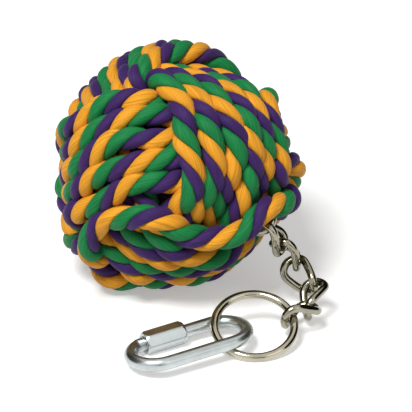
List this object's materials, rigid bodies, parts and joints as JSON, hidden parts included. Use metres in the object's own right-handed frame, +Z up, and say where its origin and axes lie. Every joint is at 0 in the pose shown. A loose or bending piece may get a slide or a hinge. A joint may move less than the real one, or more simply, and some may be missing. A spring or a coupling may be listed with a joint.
{
  "type": "rope ball bird toy",
  "caption": "Ball of three-colour twisted rope wound as a monkey's fist on a wooden core, with a screw eye, short curb chain, ring and threaded quick link to hang it in a bird cage.",
  "frame": {"origin": "middle of the flat under the lowest turn of the rope, on the table", "axes": "+Z up from the table, +X along the quick link from its free end towards the ring, +Y from the quick link towards the ball"},
  "size_m": [0.0799, 0.1025, 0.076],
  "materials": {
    "rope": "three-strand laid rope, one strand each of green, purple and orange, soft fibres",
    "core": "plain turned wood, out of sight",
    "nickel": "nickel-plated wire, bright with a slight warm grey",
    "zinc": "zinc-plated steel, bright with a slight blue"
  },
  "bodies": {
    "ball": {"rope": "rope", "core_ball": "core", "screw_eye": "nickel"},
    "link_1": {"chain_link_1": "nickel"},
    "link_2": {"chain_link_2": "nickel"},
    "link_3": {"chain_link_3": "nickel"},
    "link_4": {"chain_link_4": "nickel"},
    "link_5": {"chain_link_5": "nickel"},
    "ring": {"ring": "nickel"},
    "quick_link": {"quick_link_body": "zinc"},
    "nut": {"quick_link_nut": "zinc"}
  },
  "joints": [
    {"name": "eye_link_1", "type": "hinge", "parent": "ball", "child": "link_1", "pos_m": [0.01281, -0.03411, 0.02741], "axis": [0.814, -0.1156, 0.5692], "range_deg": [-60, 20]},
    {"name": "link_1_link_2", "type": "hinge", "parent": "link_1", "child": "link_2", "pos_m": [0.01869, -0.03345, 0.01961], "axis": [-0.6857, -0.3948, -0.6115], "range_deg": [-60, 60]},
    {"name": "link_2_link_3", "type": "hinge", "parent": "link_2", "child": "link_3", "pos_m": [0.02189, -0.03462, 0.01171], "axis": [0.7667, 0.5062, -0.3948], "range_deg": [-60, 20]},
    {"name": "link_3_link_4", "type": "hinge", "parent": "link_3", "child": "link_4", "pos_m": [0.02386, -0.04331, 0.00838], "axis": [-0.4259, -0.121, 0.8966], "range_deg": [-20, 60]},
    {"name": "link_4_link_5", "type": "hinge", "parent": "link_4", "child": "link_5", "pos_m": [0.01744, -0.05008, 0.00646], "axis": [-0.0469, -0.0827, -0.9955], "range_deg": [-60, 45]},
    {"name": "link_5_ring", "type": "hinge", "parent": "link_5", "child": "ring", "pos_m": [0.00808, -0.0527, 0.00616], "axis": [-0.1249, -0.2154, 0.9685], "range_deg": [-28, 60]},
    {"name": "ring_quick_link", "type": "hinge", "parent": "ring", "child": "quick_link", "pos_m": [-0.01098, -0.05434, 0.00226], "axis": [0.4498, -0.863, -0.2299], "range_deg": [-60, 0]},
    {"name": "nut_slide", "type": "slide", "parent": "quick_link", "child": "nut", "axis": [0.9996, 0, 0.0297], "range_m": [0, 0.0075]}
  ]
}
